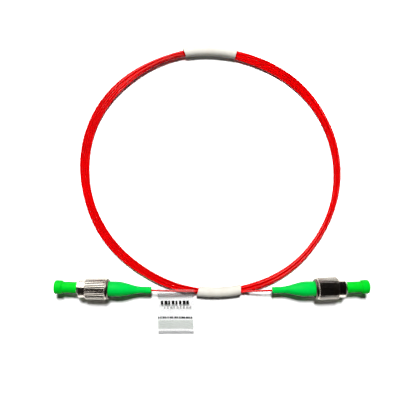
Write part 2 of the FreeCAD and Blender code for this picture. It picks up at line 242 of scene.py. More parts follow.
@dataclass
class EffectShelf:
    """The node groups that several finishes share, each built once.

    Attributes:
        made: The groups made so far.
        tone_detail: Levels of detail in the slow mottling.
        grain_detail: Levels of detail in the fine grain.
        grain_weight: How much the finer levels count in both.
        line_detail: Levels of detail in the turning lines.
        line_weight: How much the finer levels count there.
        line_stretch: Scale of the pattern along X, Y and Z that draws it out into lines.
        faint: Noise that counts as 0.
        full: Noise that counts as 1.
        narrow_dash: Narrowest dash, as a share of the usual one.
        wide_dash: Widest dash, as a share of the usual one.
    """

    made: dict[Effect, bpy.types.ShaderNodeTree] = field(default_factory=dict)
    tone_detail: float = 3.0
    grain_detail: float = 5.0
    grain_weight: float = 0.6
    line_detail: float = 2.0
    line_weight: float = 0.5
    line_stretch: Point = (1.0, 0.03, 0.03)
    faint: float = 0.3
    full: float = 0.7
    narrow_dash: float = 0.7
    wide_dash: float = 1.3

    def get(self, effect: Effect) -> bpy.types.ShaderNodeTree:
        """Return the group of an effect, building it at its first use.

        Args:
            effect: The effect.

        Returns:
            Its node group.
        """
        if effect not in self.made:
            makers = {Effect.GRAIN: self._grain, Effect.LATHE: self._lathe, Effect.FIELD: self._field}
            group = bpy.data.node_groups.new(effect.value, "ShaderNodeTree")
            group.interface.new_socket("Vector", in_out="INPUT", socket_type="NodeSocketVector")
            makers[effect](group)
            self.made[effect] = group
        return self.made[effect]

    @staticmethod
    def _open(
        group: bpy.types.ShaderNodeTree, inputs: Sequence[str], outputs: Sequence[str]
    ) -> tuple[NodeSheet, bpy.types.Node, bpy.types.Node]:
        """Declare a group's values.

        Args:
            group: The node group.
            inputs: Names of the values that it takes.
            outputs: Names of the values that it puts out.

        Returns:
            The group's sheet, its input node and its output node.
        """
        for name in inputs:
            group.interface.new_socket(name, in_out="INPUT", socket_type="NodeSocketFloat")
        for name in outputs:
            group.interface.new_socket(name, in_out="OUTPUT", socket_type="NodeSocketFloat")
        sheet = NodeSheet(group)
        return sheet, sheet.add("NodeGroupInput"), sheet.add("NodeGroupOutput")

    def _noise(
        self, sheet: NodeSheet, place: Socket, scale: Socket, detail: float, weight: float
    ) -> Socket:
        """Add a noise pattern from 0 to 1.

        Args:
            sheet: The group's sheet.
            place: Where the pattern is read.
            scale: Its patches in a metre.
            detail: Its levels of detail.
            weight: How much the finer levels count.

        Returns:
            The pattern.
        """
        noise = sheet.add("ShaderNodeTexNoise")
        sheet.feed(noise, Vector=place, Scale=scale, Detail=detail, Roughness=weight)
        return sheet.spread(noise.outputs["Fac"], 0.0, 1.0, self.faint, self.full)

    def _grain(self, group: bpy.types.ShaderNodeTree) -> None:
        """Make slow mottling (Tone) and fine grain (Grain), each from 0 to 1.

        Args:
            group: The empty node group.
        """
        sheet, start, end = self._open(group, ("Tone Scale", "Grain Scale"), ("Tone", "Grain"))
        for output, detail in (("Tone", self.tone_detail), ("Grain", self.grain_detail)):
            scale = start.outputs[f"{output} Scale"]
            pattern = self._noise(sheet, start.outputs["Vector"], scale, detail, self.grain_weight)
            sheet.give(end.inputs[output], pattern)

    def _lathe(self, group: bpy.types.ShaderNodeTree) -> None:
        """Make fine turning lines (Lines) across the X axis, from 0 to 1.

        Args:
            group: The empty node group.
        """
        sheet, start, end = self._open(group, ("Line Scale",), ("Lines",))
        drawn = sheet.add("ShaderNodeVectorMath", operation="MULTIPLY")
        sheet.give(drawn.inputs[0], start.outputs["Vector"])
        sheet.give(drawn.inputs[1], self.line_stretch)
        lines = self._noise(
            sheet, drawn.outputs["Vector"], start.outputs["Line Scale"], self.line_detail, self.line_weight
        )
        sheet.give(end.inputs["Lines"], lines)

    def _field(self, group: bpy.types.ShaderNodeTree) -> None:
        """Make the mask of a field on the flag, print and painted shadow alike, whole or broken into dashes
        of different widths.

        Args:
            group: The empty node group.
        """
        limits = (
            ("Left", "GREATER_THAN", "X"),
            ("Right", "LESS_THAN", "X"),
            ("Low", "GREATER_THAN", "Y"),
            ("High", "LESS_THAN", "Y"),
        )
        values = (*(limit for limit, _, _ in limits), "Dash Pitch", "Dash Share")
        sheet, start, end = self._open(group, values, ("Mask",))
        split = sheet.feed(sheet.add("ShaderNodeSeparateXYZ"), Vector=start.outputs["Vector"])
        masks = [
            sheet.math(test, split.outputs[axis], start.outputs[limit]) for limit, test, axis in limits
        ]
        cell = sheet.math("DIVIDE", split.outputs["X"], start.outputs["Dash Pitch"])
        chance = sheet.add("ShaderNodeTexWhiteNoise", noise_dimensions="1D")
        sheet.give(chance.inputs["W"], sheet.math("FLOOR", cell))
        share = sheet.spread(chance.outputs["Value"], self.narrow_dash, self.wide_dash)
        width = sheet.math("MULTIPLY", share, start.outputs["Dash Share"])
        masks.append(sheet.math("LESS_THAN", sheet.math("FRACT", cell), width))
        sheet.give(end.inputs["Mask"], reduce(partial(sheet.math, "MULTIPLY"), masks))


EFFECTS = EffectShelf()


@dataclass(frozen=True)
class Finish:
    """A moulded or drawn surface: two close tones, a range of roughness and a fine grain.

    Attributes:
        name: The finish's name.
        slot: The record's material slot that it stands for. Not used.
        tone: Main colour.
        shade: Colour of the slow mottling.
        smooth: Lowest roughness.
        rough: Highest roughness.
        tone_scale: Patches of mottling in a metre.
        grain_scale: Grains in a metre.
        grain_depth: Height of the grain, in metres.
        specular: Strength of the gloss.
        coat: Weight of a clear gloss over the surface.
    """

    name: str
    slot: str
    tone: Colour
    shade: Colour
    smooth: float
    rough: float
    tone_scale: float = 300.0
    grain_scale: float = 4000.0
    grain_depth: float = 0.004 * MM
    specular: float = 0.5
    coat: float = 0.0

    @cache
    def material(self) -> bpy.types.Material:
        """Build the finish's material once.

        Returns:
            The material.
        """
        material = bpy.data.materials.new(self.name)
        material.use_nodes = True
        sheet = NodeSheet(material.node_tree)
        shader = material.node_tree.nodes["Principled BSDF"]
        place = sheet.add("ShaderNodeTexCoord").outputs["Object"]
        grain = sheet.effect(
            Effect.GRAIN, Vector=place, Tone_Scale=self.tone_scale, Grain_Scale=self.grain_scale
        )
        colour = sheet.blend(grain.outputs["Tone"], self.tone, self.shade)
        height = self._relief(sheet, place, grain)
        bump = sheet.add("ShaderNodeBump")
        sheet.feed(bump, Strength=1.0, Distance=self.grain_depth, Height=height)
        sheet.feed(
            shader, Base_Color=colour, Roughness=sheet.spread(height, self.smooth, self.rough),
            Normal=bump.outputs["Normal"], Specular_IOR_Level=self.specular, Coat_Weight=self.coat,
        )
        self._extras(sheet, shader, place, colour)
        return material

    def _relief(self, sheet: NodeSheet, place: Socket, grain: bpy.types.Node) -> Socket:
        """Return the height that gives the bump and the roughness."""
        return grain.outputs["Grain"]

    def _extras(self, sheet: NodeSheet, shader: bpy.types.Node, place: Socket, colour: Socket) -> None:
        """Add what only one kind of finish has."""


@dataclass(frozen=True)
class Metal(Finish):
    """A turned metal surface, with lathe lines and painted shade down in its grooves.

    Attributes:
        line_scale: Turning lines in a metre.
        groove_shade: Colour of the painted shade where the piece's groove attribute is 1.
    """

    grain_depth: float = 0.001 * MM
    line_scale: float = 9000.0
    # Painted shade: a dark colour mixed in by the groove attribute.
    groove_shade: Colour = (0.10, 0.08, 0.06, 1.0)

    def _relief(self, sheet: NodeSheet, place: Socket, grain: bpy.types.Node) -> Socket:
        """Return the lathe lines."""
        return sheet.effect(Effect.LATHE, Vector=place, Line_Scale=self.line_scale).outputs["Lines"]

    def _extras(self, sheet: NodeSheet, shader: bpy.types.Node, place: Socket, colour: Socket) -> None:
        """Paint shade where the groove attribute is set: down the nut's tooth flanks and on its rim."""
        groove = sheet.add("ShaderNodeAttribute", attribute_name="groove").outputs["Fac"]
        sheet.feed(shader, Metallic=1.0, Base_Color=sheet.blend(groove, colour, self.groove_shade))


@dataclass(frozen=True)
class PrintAndShadowField:
    """A field on the flag, print and painted shadow alike, in metres in the object's frame.

    Attributes:
        left: Lowest X.
        right: Highest X.
        low: Lowest Y.
        high: Highest Y.
        tint: Colour of the print, and of the painted shadow in the shadow fields.
        cover: How much of what lies behind it the field hides.
        dash_pitch: Distance between dashes.
        dash_share: Share of that distance that a usual dash takes up. At 2 the field is whole.
    """

    left: float
    right: float
    low: float
    high: float
    tint: Colour
    cover: float
    dash_pitch: float = 1.0
    dash_share: float = 2.0


@dataclass(frozen=True)
class Film(Finish):
    """A clear film, bare or with print and painted shadows.

    Attributes:
        cover: How much of what lies behind it the bare film hides.
        fields: Its print and its painted shadows.
    """

    grain_scale: float = 500.0
    grain_depth: float = 0.02 * MM
    cover: float = 0.07
    fields: Sequence[PrintAndShadowField] = ()

    def _extras(self, sheet: NodeSheet, shader: bpy.types.Node, place: Socket, colour: Socket) -> None:
        """Lay the print and the painted shadows over the film and set how much they cover.

        Args:
            sheet: The material's sheet.
            shader: Its shader.
            place: Where its patterns are read.
            colour: Colour of the bare film.
        """
        cover: Union[float, Socket] = self.cover
        for marked in self.fields:
            mask = sheet.effect(
                Effect.FIELD, Vector=place, Left=marked.left, Right=marked.right,
                Low=marked.low, High=marked.high,
                Dash_Pitch=marked.dash_pitch, Dash_Share=marked.dash_share,
            ).outputs["Mask"]
            colour = sheet.blend(mask, colour, marked.tint)
            cover = sheet.blend(mask, cover, marked.cover, Mix.VALUE)
        sheet.feed(shader, Base_Color=colour, Alpha=cover)


JACKET_RED = Finish(
    "jacket_red", "cord_red", (0.95, 0.001, 0.002, 1.0), (0.86, 0.001, 0.002, 1.0), 0.14, 0.22,
    tone_scale=90.0, grain_scale=2500.0, grain_depth=0.001 * MM,
)
SLEEVE_CREAM = Finish(
    "cream_tube", "sleeve_cream", (0.97, 0.95, 0.86, 1.0), (0.93, 0.89, 0.79, 1.0), 0.36, 0.50,
    specular=0.35,
)
BOOT_GREEN = Finish(
    "green_boot", "boot_green", (0.0, 0.80, 0.085, 1.0), (0.0, 0.73, 0.07, 1.0), 0.34, 0.48,
    specular=0.12,
)
CAP_GREEN = Finish(
    "green_cap", "cap_green", (0.0, 0.82, 0.03, 1.0), (0.0, 0.75, 0.02, 1.0), 0.38, 0.52,
    specular=0.12,
)
NICKEL_NUT = Metal(
    "plated_nut", "nickel_nut", (0.80, 0.75, 0.68, 1.0), (0.70, 0.64, 0.56, 1.0), 0.12, 0.24,
)
NICKEL_FRAME = Metal(
    "plated_frame", "nickel_frame", (0.82, 0.79, 0.74, 1.0), (0.74, 0.70, 0.64, 1.0), 0.16, 0.30,
)
TURNED_STEEL = Metal(
    "bright_steel", "turned_steel", (0.62, 0.62, 0.62, 1.0), (0.52, 0.52, 0.53, 1.0), 0.20, 0.34,
)
SPRING_STEEL = Metal(
    "drawn_steel", "spring_steel", (0.55, 0.56, 0.58, 1.0), (0.45, 0.46, 0.48, 1.0), 0.18, 0.30,
    line_scale=3000.0,
)
FERRULE_CERAMIC = Finish(
    "white_ceramic", "ferrule_ceramic", (0.90, 0.89, 0.85, 1.0), (0.86, 0.85, 0.80, 1.0), 0.08, 0.16,
    grain_depth=0.0005 * MM, coat=0.4,
)
FIBRE_GLASS = Finish(
    "fibre_glass", "ferrule_ceramic", (0.10, 0.12, 0.14, 1.0), (0.06, 0.07, 0.09, 1.0), 0.04, 0.08,
    tone_scale=20000.0, grain_depth=0.0002 * MM, coat=1.0,
)
CLEAR_FILM = Film(
    "bare_film", "clear_film", (0.90, 0.92, 0.92, 1.0), (0.84, 0.88, 0.87, 1.0), 0.08, 0.18,
)
PRINT_AND_SHADOW_FILM = Film(
    "print_and_shadow_film", "clear_film", (0.90, 0.92, 0.92, 1.0), (0.84, 0.88, 0.87, 1.0), 0.10, 0.22,
    fields=(
        # Painted shadow of the cord: a grey line along the fold under the loop.
        PrintAndShadowField(-0.0254, -0.0081, -0.0484, -0.0479, (0.15, 0.13, 0.13, 1.0), 0.35),
        PrintAndShadowField(-0.0239, -0.0103, -0.0535, -0.0516, (0.02, 0.02, 0.02, 1.0), 0.92, 0.0017, 0.66),
        PrintAndShadowField(-0.0226, -0.0095, -0.0556, -0.0543, (0.30, 0.30, 0.30, 1.0), 0.30, 0.0015, 0.62),
        PrintAndShadowField(-0.0254, -0.0092, -0.0604, -0.0595, (0.03, 0.03, 0.04, 1.0), 0.92, 0.0011, 0.78),
        PrintAndShadowField(-0.0252, -0.0087, -0.0652, -0.0612, (0.66, 0.76, 0.67, 1.0), 0.24),
        # Painted shadow under the flag's bottom edge.
        PrintAndShadowField(-0.0250, -0.0085, -0.0676, -0.0662, (0.45, 0.45, 0.48, 1.0), 0.26),
    ),
)


class Corner(NamedTuple):
    """A corner of a turned outline, in millimetres: how far along, how far out, and its rounding."""

    station: float
    radius: float
    rounding: float = 0.0


def everything(shape: Shape) -> list[Element]:
    """All points, edges and faces of a shape."""
    return shape.verts[:] + shape.edges[:] + shape.faces[:]


def round_off(
    shape: Shape, where: Sequence[Element], offset: float, steps: int, rounded: Rounded = Rounded.CORNERS
) -> None:
    """Round corners or edges of a shape.

    Args:
        shape: The shape.
        where: The corners or edges.
        offset: How far from them the rounding starts.
        steps: Straight pieces that make up the rounding.
        rounded: Whether they are corners or edges.
    """
    bmesh.ops.bevel(
        shape, geom=where, offset=offset, offset_type="OFFSET", affect=rounded.value,
        segments=steps, profile=0.5, material=-1,
    )


def spin_all(shape: Shape, angle: float, steps: int, axis: Point = PLUG_AXIS, **options: object) -> None:
    """Sweep a whole shape round an axis through the origin.

    Args:
        shape: The shape.
        angle: Angle of the sweep.
        steps: Its steps.
        axis: The axis.
        **options: More of the operator's own options.
    """
    bmesh.ops.spin(
        shape, geom=everything(shape), cent=ORIGIN, axis=axis, angle=angle, steps=steps, **options
    )


def draw_outline(corners: Sequence[Corner], rounding_steps: int = 4) -> Shape:
    """Draw an outline beside +X and round its corners.

    Args:
        corners: The corners in order. The outline stays open where it starts and ends on the axis.
        rounding_steps: Straight pieces that make up a rounded corner.

    Returns:
        The outline's edges.
    """
    shape = bmesh.new()
    verts = [shape.verts.new((corner.station, 0.0, corner.radius)) for corner in corners]
    ends = [] if corners[0].radius == corners[-1].radius == 0.0 else [(verts[-1], verts[0])]
    for pair in [*zip(verts, verts[1:]), *ends]:
        shape.edges.new(pair)
    for vert, corner in zip(verts, corners):
        if corner.rounding > 0.0:
            round_off(shape, [vert], corner.rounding, rounding_steps)
    return shape


def close_up(shape: Shape) -> Shape:
    """Merge a shape's doubles and turn its faces outwards.

    Args:
        shape: The shape, in millimetres.

    Returns:
        The same shape.
    """
    bmesh.ops.remove_doubles(shape, verts=shape.verts[:], dist=MERGE_MM)
    bmesh.ops.recalc_face_normals(shape, faces=shape.faces[:])
    return shape


def turned(corners: Sequence[Corner], segments: int = 72) -> Shape:
    """Turn an outline about +X.

    Args:
        corners: The outline's corners.
        segments: Faces round the axis.

    Returns:
        The closed shape.
    """
    shape = draw_outline(corners)
    spin_all(shape, FULL_TURN, segments, use_merge=True)
    return close_up(shape)


def put(name: str, data: bpy.types.ID) -> bpy.types.Object:
    """Put an object in the scene, at the origin.

    Args:
        name: The object's name.
        data: Its mesh, curve, lamp or camera.

    Returns:
        The object.
    """
    thing = bpy.data.objects.new(name, data)
    bpy.context.scene.collection.objects.link(thing)
    return thing


def new_piece(
    name: str, shape: Shape, finishes: Sequence[Finish], body: str, stands_for: str, sharp_deg: float = 34.0
) -> bpy.types.Object:
    """Make a piece of a finished shape.

    Args:
        name: The piece's name.
        shape: Its shape in metres, which is freed.
        finishes: Its finishes, in the order of the faces' material numbers.
        body: The body that it rides on.
        stands_for: The frame's solid that it replaces.
        sharp_deg: Edges that turn by more than this stay crisp.

    Returns:
        The piece, at the origin.
    """
    mesh = bpy.data.meshes.new(name)
    shape.to_mesh(mesh)
    shape.free()
    mesh.shade_smooth()
    mesh.set_sharp_from_angle(angle=math.radians(sharp_deg))
    for finish in finishes:
        mesh.materials.append(finish.material())
    piece = put(name, mesh)
    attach(piece, body)
    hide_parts(stands_for)
    LOG.info("%s: %d faces, rides on %s", name, len(mesh.polygons), body)
    return piece


@dataclass(frozen=True)
class CoilOval:
    """The coil's outer oval on the table, in millimetres."""

    centre: tuple[float, float] = (-0.6, 8.95)
    half_width: float = 61.4
    half_depth: float = 57.85
    tilt: float = math.radians(-14.7)

    def radius(self, angle: float) -> float:
        """Work out the outer radius.

        Args:
            angle: Degrees round the coil from +X.

        Returns:
            The radius.
        """
        turned_by = math.radians(angle) - self.tilt
        across = math.cos(turned_by) / self.half_width
        along = math.sin(turned_by) / self.half_depth
        return 1.0 / math.hypot(across, along)

    def end_radius(self) -> float:
        """Radius of the oval's flat ends, where the sleeves are."""
        return self.half_width**2 / self.half_depth

    def end_centre(self, end: int) -> Vector:
        """Middle of the far (+1) or near (-1) end's arc."""
        offset = Vector((0.0, end * (self.half_depth - self.end_radius()), 0.0))
        return Vector((*self.centre, 0.0)) + Matrix.Rotation(self.tilt, 3, "Z") @ offset


@dataclass(frozen=True)
class LayStation:
    """How the strands lie at one angle round the coil, in millimetres.

    Attributes:
        angle: Degrees round the coil from +X.
        swell: How far the outermost strand stands out of the coil's oval.
        pitch: Distance between neighbouring strands across the band.
        height: Height of the lower strands' middles.
    """

    angle: float
    swell: float
    pitch: float
    height: float


@dataclass
class WoundCord:
    """The cord, from the left boot through five turns of a tied coil to the right boot.

    Attributes:
        oval: The coil's oval.
        diameter: The cord's diameter, in millimetres.
        length_m: Its length, in metres. Not used.
        turns: Turns of the coil.
        points_a_turn: Control points in a turn.
        first_angle: Where the winding starts, in degrees from +X.
        last_angle: Where the last turn ends.
        shift_start: Where a strand starts to step outwards.
        shift_end: Where it has stepped outwards.
        level_swap: Where the lower and the upper strands change places.
        strand_room: Distance between the middles of two strands that touch, in millimetres.
        left_route: Control points from the left boot into the near sleeve, in metres.
        right_route: Control points from the near sleeve to the right boot, in metres.
        lay: How the strands lie round the coil.
        spline_order: Order of the curve.
        spline_steps: Straight pieces between two control points.
        section_steps: Fineness of the round section.
    """

    oval: CoilOval
    diameter: float = 0.9
    length_m: float = 1.89
    turns: int = 5
    points_a_turn: int = 24
    first_angle: float = -78.0
    last_angle: float = 252.0
    shift_start: float = 255.0
    shift_end: float = 305.0
    level_swap: float = 180.0
    strand_room: float = 0.93
    left_route: Sequence[Point] = (
        (-0.0290, -0.04627, 0.00510),
        (-0.0242, -0.04645, 0.00500),
        (-0.0162, -0.04675, 0.00442),
        (-0.0086, -0.04700, 0.00368),
        (-0.0026, -0.04730, 0.00320),
        (0.0040, -0.04690, 0.00330),
    )
    right_route: Sequence[Point] = (
        (-0.0060, -0.04830, 0.00230),
        (0.0030, -0.04890, 0.00240),
        (0.0100, -0.04830, 0.00230),
        (0.0154, -0.04720, 0.00270),
        (0.0238, -0.04652, 0.00503),
        (0.0290, -0.04626, 0.00510),
    )
    lay: Sequence[LayStation] = (
        LayStation(-78.0, 0.35, 0.60, 1.75),
        LayStation(-60.0, 1.08, 0.76, 1.10),
        LayStation(-45.0, 0.90, 0.62, 0.60),
        LayStation(-28.0, -0.06, 0.47, 0.47),
        LayStation(-12.0, 0.35, 0.54, 0.47),
        LayStation(5.0, 0.82, 0.73, 0.47),
        LayStation(22.0, 0.80, 0.68, 0.47),
        LayStation(40.0, 1.33, 0.92, 0.55),
        LayStation(58.0, 0.85, 0.95, 1.00),
        LayStation(70.0, 0.25, 0.94, 1.50),
        LayStation(79.0, 0.30, 0.68, 1.90),
        LayStation(90.0, 0.20, 0.64, 1.95),
        LayStation(102.0, -0.28, 0.52, 2.10),
        LayStation(110.0, -0.65, 0.48, 2.30),
        LayStation(120.0, -0.75, 0.47, 2.40),
        LayStation(133.0, 0.10, 0.86, 1.80),
        LayStation(150.0, 0.72, 0.97, 1.00),
        LayStation(165.0, 0.80, 0.95, 0.47),
        LayStation(180.0, 0.50, 0.93, 0.47),
        LayStation(192.0, 0.15, 0.78, 0.47),
        LayStation(205.0, 0.77, 0.93, 0.47),
        LayStation(220.0, 0.65, 0.88, 0.60),
        LayStation(237.0, 0.00, 0.75, 1.10),
        LayStation(256.0, 0.10, 0.62, 1.70),
        LayStation(282.0, 0.35, 0.60, 1.75),
    )
    spline_order: int = 3
    spline_steps: int = 6
    section_steps: int = 4

    def lies(self, angle: float) -> LayStation:
        """Work out how the strands lie at an angle, eased between the stations beside it.

        Args:
            angle: Degrees round the coil from +X.

        Returns:
            How they lie there.
        """
        for before, after in zip(self.lay, self.lay[1:]):
            if angle <= after.angle:
                share = ease((angle - before.angle) / (after.angle - before.angle))
                return LayStation(
                    angle,
                    between(before.swell, after.swell, share),
                    between(before.pitch, after.pitch, share),
                    between(before.height, after.height, share),
                )
        return self.lay[-1]

    def rank(self, turn: int, angle: float) -> float:
        """Work out a strand's place across the band, which steps outwards once a turn.

        Args:
            turn: Turns wound before this one.
            angle: Degrees round the coil from +X.

        Returns:
            The place, counted in strands outwards from the innermost.
        """
        run = self.shift_end - self.shift_start
        leaving = ease((angle - self.shift_start) / run)
        arriving = ease((angle + FULL_CIRCLE_DEG - self.shift_start) / run)
        return turn - 1 + arriving + leaving

    def strand_point(self, along: float) -> Point:
        """Work out a control point of the wound stretch.

        Args:
            along: Degrees wound from +X, counting on through every turn.

        Returns:
            The point, in metres.
        """
        turn = math.floor((along - self.first_angle) / FULL_CIRCLE_DEG)
        angle = along - FULL_CIRCLE_DEG * turn
        lies = self.lies(angle)
        level = turn + 1 if angle < self.level_swap else turn
        lift = math.sqrt(max(0.0, self.strand_room**2 - lies.pitch**2)) if level % 2 == 0 else 0.0
        inward = self.diameter / 2 + (self.turns - 1 - self.rank(turn, angle)) * lies.pitch
        # A curve of this order meets its control polygon at the middles of the sides.
        growth = 1.0 / math.cos(math.pi / self.points_a_turn)
        radius = (self.oval.radius(angle) + lies.swell - inward) * growth
        x = self.oval.centre[0] + radius * math.cos(math.radians(angle))
        y = self.oval.centre[1] + radius * math.sin(math.radians(angle))
        return (x * MM, y * MM, (lies.height + lift) * MM)

    def control_points(self) -> list[Point]:
        """Work out every control point from the left boot to the right boot.

        Returns:
            The points, in metres.
        """
        wound = FULL_CIRCLE_DEG * (self.turns - 1) + self.last_angle - self.first_angle
        steps = round(wound * self.points_a_turn / FULL_CIRCLE_DEG)
        coil = [self.strand_point(self.first_angle + wound * step / steps) for step in range(steps + 1)]
        return [*self.left_route, *coil, *self.right_route]

    def build(self) -> bpy.types.Object:
        """Build the cord as one smooth curve that stands for the cord's solids.

        Returns:
            The cord.
        """
        curve = bpy.data.curves.new("red_cord", "CURVE")
        curve.dimensions = "3D"
        curve.bevel_depth = self.diameter / 2 * MM
        curve.bevel_resolution = self.section_steps
        curve.use_fill_caps = True
        spline = curve.splines.new("NURBS")
        points = self.control_points()
        spline.points.add(len(points) - 1)
        for point, place in zip(spline.points, points):
            point.co = (*place, 1.0)
        spline.order_u = self.spline_order
        spline.use_endpoint_u = True
        spline.resolution_u = self.spline_steps
        curve.materials.append(JACKET_RED.material())
        cord = put("red_cord", curve)
        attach(cord, ROOT)
        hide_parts("cord_coil", "left_cord", "right_cord")
        LOG.info("%s: %d control points", cord.name, len(points))
        return cord


@dataclass
class Sleeve:
    """A slit tube bent along the coil's end, in millimetres.

    Attributes:
        node: The solid that it stands for.
        oval: The coil's oval.
        end: The coil's far (+1) or near (-1) end.
        length: Length along the bundle.
        middle_x: Where its middle is, across the table.
        left_slant: How far its left end leans to the right, for each millimetre outwards.
        right_slant: How far its right end leans to the right, for each millimetre outwards.
        bundle_width: Width of the strands inside it.
        radius: Its outer radius.
        wall: Thickness of its wall.
        slit_deg: Width of the slit, in degrees round the section.
        slit_at: Where the slit is, in degrees round the section from the outer side over the top.
        lip_rounding: Rounding of its cut edges.
        lip_steps: Straight pieces that make up that rounding.
        crisp_angle: Edges that turn by more than this, in radians, are cut edges.
        section_steps: Faces round the section.
        length_steps: Faces along the bundle.
    """

    node: str
    oval: CoilOval
    end: int
    length: float
    middle_x: float
    left_slant: float
    right_slant: float
    bundle_width: float = 2.94
    radius: float = 2.35
    wall: float = 0.45
    slit_deg: float = 14.0
    slit_at: float = 225.0
    lip_rounding: float = 0.1
    lip_steps: int = 3
    crisp_angle: float = 1.0
    section_steps: int = 48
    length_steps: int = 24

    def build(self) -> bpy.types.Object:
        """Sweep the tube and lay it round the bundle at the coil's end.

        Returns:
            The sleeve.
        """
        centre = self.oval.end_centre(self.end)
        bend = self.oval.end_radius() - self.bundle_width / 2
        sweep = self.length / bend
        shape = self._tube(bend, sweep)
        self._slant_ends(shape, bend, sweep)
        aim = self.end * (math.pi / 2 - math.asin((self.middle_x - centre.x) / bend)) - sweep / 2
        swing = Matrix.Rotation(aim, 3, "Z")
        bmesh.ops.rotate(shape, cent=ORIGIN, matrix=swing, verts=shape.verts[:])
        bmesh.ops.translate(shape, vec=centre, verts=shape.verts[:])
        bmesh.ops.scale(shape, vec=(MM, MM, MM), verts=shape.verts[:])
        return new_piece(f"{self.node}_tube", shape, [SLEEVE_CREAM], ROOT, self.node)

    def _tube(self, bend: float, sweep: float) -> Shape:
        """Sweep the slit section along the bundle's arc, from +X.

        Args:
            bend: Radius of the bundle's arc.
            sweep: Angle that the tube covers.

        Returns:
            The tube, with its cut edges rounded.
        """
        shape = bmesh.new()
        rims = (self.radius, self.radius - self.wall)
        lip = [shape.verts.new((bend, 0.0, self.radius + rim)) for rim in rims]
        edge = shape.edges.new(lip)
        middle = Vector((bend, 0.0, self.radius))
        start = math.radians(self.slit_at + self.slit_deg / 2 - FULL_CIRCLE_DEG / 4)
        bmesh.ops.rotate(shape, cent=middle, matrix=Matrix.Rotation(-start, 3, "Y"), verts=lip)
        bmesh.ops.spin(
            shape, geom=[*lip, edge], cent=middle, axis=(0.0, -1.0, 0.0),
            angle=FULL_TURN - math.radians(self.slit_deg), steps=self.section_steps,
        )
        spin_all(shape, sweep, self.length_steps, axis=UP)
        close_up(shape)
        crisp = [edge for edge in shape.edges if edge.calc_face_angle(0.0) > self.crisp_angle]
        round_off(shape, crisp, self.lip_rounding, self.lip_steps, Rounded.EDGES)
        return shape

    def _slant_ends(self, shape: Shape, bend: float, sweep: float) -> None:
        """Lean the two cut ends, fading to nothing at the middle.

        Args:
            shape: The tube, swept from +X.
            bend: Radius of the bundle's arc.
            sweep: Angle that the tube covers.
        """
        slants = (self.left_slant, self.right_slant)
        first, last = slants if self.end < 0 else reversed(slants)
        for vert in shape.verts:
            share = 2.0 * math.atan2(vert.co.y, vert.co.x) / sweep - 1.0
            slant = first * max(0.0, -share) + last * max(0.0, share)
            outward = vert.co.xy.length - bend
            lean = Matrix.Rotation(-slant * outward * self.end / bend, 3, "Z")
            vert.co = lean @ vert.co


@dataclass
class PlugAxis:
    """A plug's own axis, from the tail of its boot towards its dust cap, in metres."""

    tail: Vector
    direction: Vector

    @classmethod
    def of(cls, side: Side) -> "PlugAxis":
        """Find a plug's axis in the frame.

        Args:
            side: The plug's side.

        Returns:
            Its axis.
        """
        spin = next(joint for joint in frame["joints"] if joint["name"] == side.named("nut_spin"))
        direction = Vector(spin["axis"]).normalized()
        pivot = Vector(spin["pos_m"])
        boot = frame["nodes"][side.named("boot")]
        reach = min((vert.co - pivot).dot(direction) for vert in boot.data.vertices)
        return cls(pivot + direction * reach, direction)

    def carry(self, shape: Shape) -> Shape:
        """Carry a shape from +X to this axis.

        Args:
            shape: The shape, in millimetres.

        Returns:
            The same shape, in metres.
        """
        up = Vector(UP)
        across = up.cross(self.direction)
        turn = Matrix((self.direction, across, up)).transposed().to_4x4()
        move = Matrix.Translation(self.tail) @ turn @ Matrix.Scale(MM, 4)
        bmesh.ops.transform(shape, matrix=move, verts=shape.verts[:])
        return shape


@dataclass
class PlugPiece(ABC):
    """A piece of a plug. Its names are without the side, and its sizes are in millimetres.

    Attributes:
        name: The piece's name.
        solid: The frame's solid that it stands for.
        body: The body that it rides on, or nothing where that is the root.
        finishes: Its finishes, in the order of the faces' material numbers.
    """

    name: ClassVar[str]
    solid: ClassVar[str]
    finishes: ClassVar[Sequence[Finish]]
    body: ClassVar[str] = ""

    @abstractmethod
    def shape(self) -> Shape:
        """Make the piece's closed shape along +X."""

    def build(self, side: Side, axis: PlugAxis) -> bpy.types.Object:
        """Make the piece and carry it to its plug.

        Args:
            side: The plug's side.
            axis: The plug's axis.

        Returns:
            The piece.
        """
        body = side.named(self.body) if self.body else ROOT
        shape = axis.carry(self.shape())
        return new_piece(side.named(self.name), shape, self.finishes, body, side.named(self.solid))


@dataclass
class Boot(PlugPiece):
    """Strain relief: a straight tail, a long swelling and a straight head over the post."""

    name: ClassVar[str] = "boot_skin"
    solid: ClassVar[str] = "boot"
    finishes: ClassVar[Sequence[Finish]] = (BOOT_GREEN,)

    length: float = 20.7
    tail_radius: float = 1.55
    tail_length: float = 4.4
    head_radius: float = 3.5
    head_length: float = 5.1
    bore_radius: float = 0.5
    bore_rounding: float = 0.1
    post_radius: float = 2.05
    post_depth: float = 7.25
    rounding: float = 0.25
    swelling_steps: int = 20

    def shape(self) -> Shape:
        """Turn the boot.

        Returns:
            Its shape.
        """
        head_start = self.length - self.head_length
        shares = [step / self.swelling_steps for step in range(self.swelling_steps + 1)]
        swelling = [
            Corner(
                between(self.tail_length, head_start, share),
                between(self.tail_radius, self.head_radius, ease(share)),
            )
            for share in shares
        ]
        post_end = self.length - self.post_depth
        return turned([
            Corner(0.0, self.bore_radius, self.bore_rounding),
            Corner(0.0, self.tail_radius, self.rounding),
            *swelling,
            Corner(self.length, self.head_radius, self.rounding),
            Corner(self.length, self.post_radius),
            Corner(post_end, self.post_radius),
            Corner(post_end, self.bore_radius),
        ])


